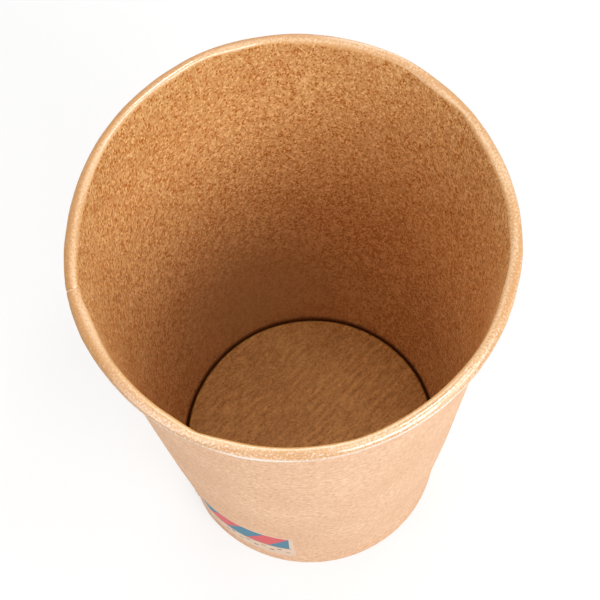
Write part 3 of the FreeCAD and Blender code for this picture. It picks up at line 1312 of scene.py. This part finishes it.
@dataclass
class BaseDisc:
    """The disc pressed from one sheet, with its edge bent down into a skirt."""

    sizes: CupSizes
    form: FormedShape
    skirt_end: float = 1.3 * MM
    edge_radius: float = 0.5 * MM   # of the bend's coated face
    stand_off: float = 0.50 * MM    # of the skirt's top from the wall
    grip: float = 5.8 * MM          # height below which the wall grips the skirt
    dish: float = 0.25 * MM         # that the middle lies below the edge
    sag: Wave = Wave(0.06 * MM, 2, -20.05)  # in the flat
    groove_shade_steps: float = 6.25        # of the bend's steps over which painted shade darkens the edge into the groove
    machine: float = 42.0           # degrees from +X of the board's machine direction
    steps: int = 480
    flat_steps: int = 26
    bend_steps: int = 10
    skirt_steps: int = 6
    name: str = "base_disc_sheet"

    def depth(self, azimuth: float) -> float:
        """How deep inside the outer cone the skirt lies: the seam's laps press it further in.

        Args:
            azimuth: Degrees from +X.

        Returns:
            The depth.
        """
        sizes = self.sizes
        past = (azimuth - sizes.seam + sizes.ramp) % 360
        on = min(past / sizes.ramp, 1.0)
        off = min(max((past - sizes.ramp - sizes.lap) / sizes.ramp, 0.0), 1.0)
        return sizes.wall_sheet * (1 + on - off) + sizes.seal

    def path(self, depth: float) -> SheetPath:
        """The disc from its centre, round the bend and down the skirt.

        Args:
            depth: How deep inside the outer cone the skirt lies.

        Returns:
            The line. The coated face is the upper one.
        """
        sizes, bend = self.sizes, self.edge_radius
        outward = -sizes.cone
        top, under = sizes.disc_height, sizes.disc_height - sizes.disc_sheet
        centre = sizes.inside_cone(top - bend, depth + self.stand_off + bend)
        inner = bend - sizes.disc_sheet
        path = SheetPath((0.0, under), (0.0, top))
        path.straight((centre[0], under), (centre[0], top), self.flat_steps)
        path.mark("flat")
        path.bend(centre, inner, bend, 90, outward, self.bend_steps)
        for height, steps in ((self.grip, 2), (self.skirt_end, self.skirt_steps)):
            inside = sizes.inside_cone(height, depth + sizes.disc_sheet)
            path.straight(inside, sizes.inside_cone(height, depth), steps)
        return path

    def built(self) -> bpy.types.Object:
        """Makes the disc.

        Returns:
            The object.
        """
        azimuths = np.array(on_to(0.0, 360.0, self.steps))
        pairs, blank = [], []
        for azimuth in azimuths:
            path = self.path(self.depth(azimuth))
            turn = math.radians(azimuth - self.machine)
            pairs.append(path.array())
            blank.append(np.outer(path.lengths() / MM, (math.cos(turn), math.sin(turn))))
        pairs = np.array(pairs)
        beyond = np.arange(pairs.shape[1])[None, :, None] - path.marks["flat"]
        share = np.clip(pairs[..., 0] / pairs[:, path.marks["flat"], None, :1, 0], 0, 1)
        wave = self.sag.at(azimuths[:, None, None], share) * share * np.sin(math.pi * share)
        pairs[..., 1] += (beyond <= 0) * (wave - self.dish * (1 - share**2) ** 2)
        places = turned(pairs, azimuths, self.form, self.sizes)
        # Painted shade: the curl goes down to -1 round the bend, which darkens the edge into the
        # groove.
        curl = np.broadcast_to(-np.clip(beyond / self.groove_shade_steps, 0, 1), (*pairs.shape[:2], 1))
        mesh = SheetMesh(self.name, places, two_faced(np.array(blank)), curl, round=True)
        edge = CutEdge("disc_cut_edge")
        return mesh.built([BARE_DISC.dressed(), COATED_DISC.dressed(), edge.dressed()])


# Print


class Ink(Enum):
    """The inks of the printed panel, by the order of their material slots."""

    GROUND = 0
    CORAL = 1
    TEAL = 2
    DARK = 3
    OLIVE = 4


INKS = {
    Ink.GROUND: PrintInk("ink_ground", (0.88, 0.70, 0.56), cover=0.55),
    Ink.CORAL: PrintInk("ink_coral", (0.74, 0.075, 0.085), cover=1.0),
    Ink.TEAL: PrintInk("ink_teal", (0.03, 0.20, 0.30), cover=1.0),
    Ink.DARK: PrintInk("ink_dark", (0.10, 0.095, 0.10), cover=0.8),
    Ink.OLIVE: PrintInk("ink_olive", (0.42, 0.36, 0.17), cover=0.75),
}


@dataclass(frozen=True)
class Patch:
    """A field of one ink, between two lines over a stretch of the panel. In metres."""

    ink: Ink
    left: float
    right: float
    lower: Callable[[float], float]
    upper: Callable[[float], float]


def bar(ink: Ink, left: float, right: float, lower: float, upper: float) -> Patch:
    """A rectangle of ink."""
    return Patch(ink, left, right, lambda _: lower, lambda _: upper)


def slanted(ink: Ink, left: float, middle: float, right: float, low: float, high: float) -> Patch:
    """A slanted band of ink that is cut level at its two ends.

    Args:
        ink: Its ink.
        left: Where its lower end starts. Its upper end starts at the middle, if that is past it.
        middle: Where its lower end stops and its upper end starts.
        right: Where its upper end stops.
        low: Height of its lower end.
        high: Height of its upper end.

    Returns:
        The patch.
    """
    def rising(start: float, end: float, at: float) -> float:
        """Height of a side that climbs from low at its start to high at its end."""
        share = (at - start) / (end - start) if end > start else float(at >= start)
        return low + (high - low) * min(max(share, 0.0), 1.0)

    return Patch(
        ink, left, right, lambda at: rising(middle, right, at), lambda at: rising(left, middle, at)
    )


@dataclass
class PrintedPanel:
    """A plain pattern of slanted bands, a line and short bars, printed low on the front left."""

    sizes: CupSizes
    form: FormedShape
    first: float = 216.0            # azimuth of its left end
    last: float = 259.0
    foot: float = 5.2 * MM          # height of its lower side
    head: float = 24.6 * MM
    border: float = 0.8 * MM
    line_height: float = 12.4 * MM
    line_width: float = 0.45 * MM
    tiles: int = 4
    dashes: int = 11
    dash_width: float = 1.1 * MM
    dash_height: float = 1.0 * MM
    dash_levels: Pair = (0.34, 0.62)    # by turns, in shares of the way up to the line
    film: float = 0.012 * MM
    lift: float = 0.010 * MM        # that keeps the films clear of the wall's flat facets
    step: float = 0.45 * MM
    rows: int = 10
    name: str = "wall_print"

    @property
    def width(self) -> float:
        """The panel's width along the wall at its middle."""
        middle = self.sizes.inside_cone((self.foot + self.head) / 2, 0)[0]
        return math.radians(self.last - self.first) * middle

    def patches(self) -> Iterable[Patch]:
        """The panel's fields of ink, from the ground up."""
        width, border = self.width, self.border
        yield bar(Ink.GROUND, 0, width, self.foot, self.head)
        left, right = border, width - border
        tile = (right - left) / self.tiles
        low, high = self.line_height + self.line_width, self.head - border
        for number in range(self.tiles + 1):
            start, middle, end = (
                min(max(left + (number + step) * tile, left), right) for step in (-1, 0, 1)
            )
            ink = Ink.CORAL if number % 2 else Ink.TEAL
            yield slanted(ink, start, middle, end, low, high)
        yield bar(Ink.DARK, left, right, self.line_height, self.line_height + self.line_width)
        pitch = (right - left) / self.dashes
        for number in range(self.dashes):
            ink = Ink.OLIVE if number % 3 == 1 else Ink.DARK
            start = left + (number + 0.5) * pitch - self.dash_width / 2
            up = self.foot + (self.line_height - self.foot) * self.dash_levels[number % 2]
            yield bar(ink, start, start + self.dash_width, up, up + self.dash_height)

    def place(self, across: float, up: float, proud: float) -> Vector:
        """A point over the wall's outer face.

        Args:
            across: Distance from the panel's left end.
            up: Height.
            proud: Distance outside the face.

        Returns:
            The point in space.
        """
        azimuth = self.first + (self.last - self.first) * across / self.width
        radius, height = self.sizes.inside_cone(up, -proud)
        radius += float(self.form.outward(np.array(azimuth), np.array(up / self.sizes.height)))
        turn = math.radians(azimuth)
        return Vector((radius * math.cos(turn), radius * math.sin(turn), height))

    def in_blank(self, across: float, up: float) -> Place:
        """Where a point of the panel lies in the flat blank, on the bare face.

        Args:
            across: Distance from the panel's left end.
            up: Height.

        Returns:
            The place.
        """
        azimuth = self.first + (self.last - self.first) * across / self.width
        along = up / math.cos(math.radians(self.sizes.cone))
        return (*self.sizes.in_blank(along, azimuth), 0.0)

    def built(self) -> bpy.types.Object:
        """Makes the panel.

        Returns:
            The object: one closed film for each field of ink.
        """
        places, blank, faces, inks = [], [], [], []
        for patch in self.patches():
            columns = max(2, math.ceil((patch.right - patch.left) / self.step))
            layer = 1 if patch.ink is Ink.GROUND else 2
            start = len(places)
            for column in range(columns + 1):
                across = patch.left + (patch.right - patch.left) * column / columns
                low, high = patch.lower(across), patch.upper(across)
                for row in range(self.rows + 1):
                    up = low + (high - low) * row / self.rows
                    for proud in ((layer - 1) * self.film, layer * self.film):
                        places.append(self.place(across, up, proud + self.lift))
                        blank.append(self.in_blank(across, up))
            made = film_faces(columns, self.rows, start)
            faces += made
            inks += [patch.ink.value] * len(made)
        mesh = bpy.data.meshes.new(self.name)
        mesh.from_pydata(places, [], faces)
        mesh.polygons.foreach_set("material_index", inks)
        store(mesh, BLANK, "FLOAT_VECTOR", np.array(blank))
        join_touching(mesh)
        return finished(mesh, (INKS[ink].dressed() for ink in Ink))


def film_faces(columns: int, rows: int, start: int) -> list[tuple[int, ...]]:
    """The faces of a thin closed film on a grid of columns and rows.

    Args:
        columns: Spans across.
        rows: Spans up.
        start: Its first vertex.

    Returns:
        The faces, all outward.
    """
    def at(column: int, row: int, layer: int) -> int:
        """The vertex at a column and row, on the lower or upper layer."""
        return start + (column * (rows + 1) + row) * 2 + layer

    made = []
    for column in range(columns):
        for row in range(rows):
            ring = ((column, row), (column + 1, row), (column + 1, row + 1), (column, row + 1))
            made.append(tuple(at(*place, 1) for place in ring))
            made.append(tuple(at(*place, 0) for place in reversed(ring)))
    border = [(column, 0) for column in range(columns)]
    border += [(columns, row) for row in range(rows)]
    border += [(column, rows) for column in range(columns, 0, -1)]
    border += [(0, row) for row in range(rows, 0, -1)]
    for here, there in zip(border, border[1:] + border[:1]):
        made.append((at(*here, 0), at(*there, 0), at(*there, 1), at(*here, 1)))
    return made


# Studio


@dataclass(frozen=True)
class Softbox:
    """A lamp with an even face, aimed at the cup."""

    name: str
    azimuth: float      # degrees from +X
    elevation: float
    distance: float
    width: float
    height: float
    power: float        # watts

    def lit(self, target: Vector) -> None:
        """Places the lamp.

        Args:
            target: What it is aimed at.
        """
        lamp = bpy.data.lights.new(self.name, "AREA")
        lamp.shape = "RECTANGLE"
        lamp.size, lamp.size_y = self.width, self.height
        lamp.energy = self.power
        around, up = math.radians(self.azimuth), math.radians(self.elevation)
        toward = Vector(
            (math.cos(up) * math.cos(around), math.cos(up) * math.sin(around), math.sin(up))
        )
        made = bpy.data.objects.new(self.name, lamp)
        made.location = target + self.distance * toward
        made.rotation_mode = "QUATERNION"
        made.rotation_quaternion = (-toward).to_track_quat("-Z", "Y")
        bpy.context.scene.collection.objects.link(made)


@dataclass(frozen=True)
class Studio:
    """A white table under an even white sky, with lamps all round and the key at the front right."""

    sky: float = 0.30
    floor_radius: float = 4.0
    floor_corners: int = 96
    floor_colour: float = 0.82
    wash: float = 0.65      # how far the cup's shadow on the table is washed out
    washed: Pair = (0.05, 0.5)      # distances where that grows, and where no shadow is left
    lamps: tuple[Softbox, ...] = (
        Softbox("key_lamp", -60.0, 33.0, distance=0.9, width=0.55, height=0.5, power=4.9),
        Softbox("right_lamp", -14.0, 45.0, distance=0.9, width=0.4, height=0.3, power=1.4),
        Softbox("back_lamp", 90.0, 30.0, distance=0.9, width=0.6, height=0.6, power=3.05),
        Softbox("left_lamp", 180.0, 60.0, distance=0.9, width=0.8, height=0.8, power=1.92),
        Softbox("front_lamp", 207.0, 10.0, distance=0.9, width=0.4, height=0.4, power=1.05),
        Softbox("top_lamp", 10.0, 75.0, distance=0.9, width=0.15, height=0.15, power=1.0),
    )

    def built(self, target: Vector) -> None:
        """Makes the floor, the sky and the lamps.

        Args:
            target: What the lamps are aimed at.
        """
        self.floor()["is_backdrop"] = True
        self.dome()
        for lamp in self.lamps:
            lamp.lit(target)

    def seen(self, shader: Shader) -> Signal:
        """1 for what the camera sees directly, in a gloss or through something."""
        path = shader.node("ShaderNodeLightPath", output="Is Camera Ray")
        return path.largest(path.output("Is Glossy Ray")).largest(
            path.output("Is Transmission Ray")
        )

    def floor(self) -> bpy.types.Object:
        """The table.

        Returns:
            The object.
        """
        corners = [
            (self.floor_radius * math.cos(turn), self.floor_radius * math.sin(turn), 0.0)
            for turn in (2 * math.pi * n / self.floor_corners for n in range(self.floor_corners))
        ]
        mesh = bpy.data.meshes.new("table")
        mesh.from_pydata(corners, [], [range(self.floor_corners)])
        material = bpy.data.materials.new("white_table")
        shader = Shader(material)
        seen = self.seen(shader)
        colour = shader.blend(seen, (self.floor_colour,) * 3, WHITE)
        lit = shader.node("ShaderNodeBsdfDiffuse", {}, {"Color": colour})
        white = shader.node("ShaderNodeEmission", {}, {"Color": (*WHITE, 1), "Strength": 1.0})
        away = shader.measured("DISTANCE", shader.here(), (0, 0, 0))
        wash = self.wash + (1 - self.wash) * away.above(*self.washed)
        shader.close(shader.node("ShaderNodeMixShader", {}, {0: wash * seen, 1: lit, 2: white}))
        return finished(mesh, [material])

    def dome(self) -> None:
        """Lights the scene evenly from a sky that is seen as white."""
        world = bpy.data.worlds.new("white_sky")
        bpy.context.scene.world = world
        shader = Shader(world)
        lit, white = (
            shader.node("ShaderNodeBackground", {}, {"Color": (*WHITE, 1), "Strength": strength})
            for strength in (self.sky, 1.0)
        )
        both = shader.node("ShaderNodeMixShader", {}, {0: self.seen(shader), 1: lit, 2: white})
        shader.close(both, "ShaderNodeOutputWorld")


@dataclass(frozen=True)
class Viewpoint:
    """Where the camera stands: it looks down into the cup, from in front of it."""

    lens: float = 136.457           # millimetres, on the sensor's width
    sensor: float = 36.0
    clip: Pair = (0.01, 20.0)
    elevation: float = 65.5
    roll: float = -5.22
    distance: float = 437.73 * MM
    aside: float = 1.60 * MM        # of the aim from the rim's centre, in the camera's plane
    above: float = -12.23 * MM

    def placed(self, rim_height: float) -> None:
        """Makes the camera, and the scene's view of colour.

        Args:
            rim_height: Height of the rim that it is aimed at.
        """
        up, turn = math.radians(self.elevation), math.radians(self.roll)
        back = Vector((0, -math.cos(up), math.sin(up)))
        level, steep = Vector((1, 0, 0)), Vector((0, math.sin(up), math.cos(up)))
        right = level * math.cos(turn) + steep * math.sin(turn)
        above = steep * math.cos(turn) - level * math.sin(turn)
        aim = Vector((0, 0, rim_height)) + right * self.aside + above * self.above
        data = bpy.data.cameras.new("camera")
        data.lens = self.lens
        data.sensor_width = self.sensor
        data.clip_start, data.clip_end = self.clip
        camera = bpy.data.objects.new("camera", data)
        place = Matrix((right, above, back)).transposed().to_4x4()
        place.translation = aim + back * self.distance
        camera.matrix_world = place
        scene = bpy.context.scene
        scene.collection.objects.link(camera)
        scene.camera = camera
        scene.view_settings.view_transform = "Standard"


def record_size() -> None:
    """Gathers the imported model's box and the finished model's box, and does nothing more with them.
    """
    boxes = [[list(corner) for corner in box] for box in (CAD_BOX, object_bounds())]


def report(piece: bpy.types.Object) -> None:
    """Logs a piece's name and size."""
    size = " x ".join(f"{length / MM:.2f}" for length in piece.dimensions)
    log.info("%s: %d faces, %s mm", piece.name, len(piece.data.polygons), size)


def main() -> None:
    """Builds the cup, its print, the studio and the camera."""
    logging.basicConfig(level=logging.INFO, format="%(message)s")
    sizes = CupSizes(
        height=CAD_BOX[1].z, rim_radius=CAD_BOX[1].y, disc_height=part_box("base_disc")[1].z
    )
    form = FormedShape()
    wall = SideWall(sizes, form).built()
    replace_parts(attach(wall, BODY), "side_wall")
    disc = BaseDisc(sizes, form).built()
    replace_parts(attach(disc, BODY), "base_disc")
    panel = PrintedPanel(sizes, form).built()
    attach(panel, BODY)
    for piece in (wall, disc, panel):
        report(piece)
    Studio().built(Vector((0, 0, sizes.height / 2)))
    Viewpoint().placed(sizes.height)
    record_size()


if __name__ == "__main__":
    main()
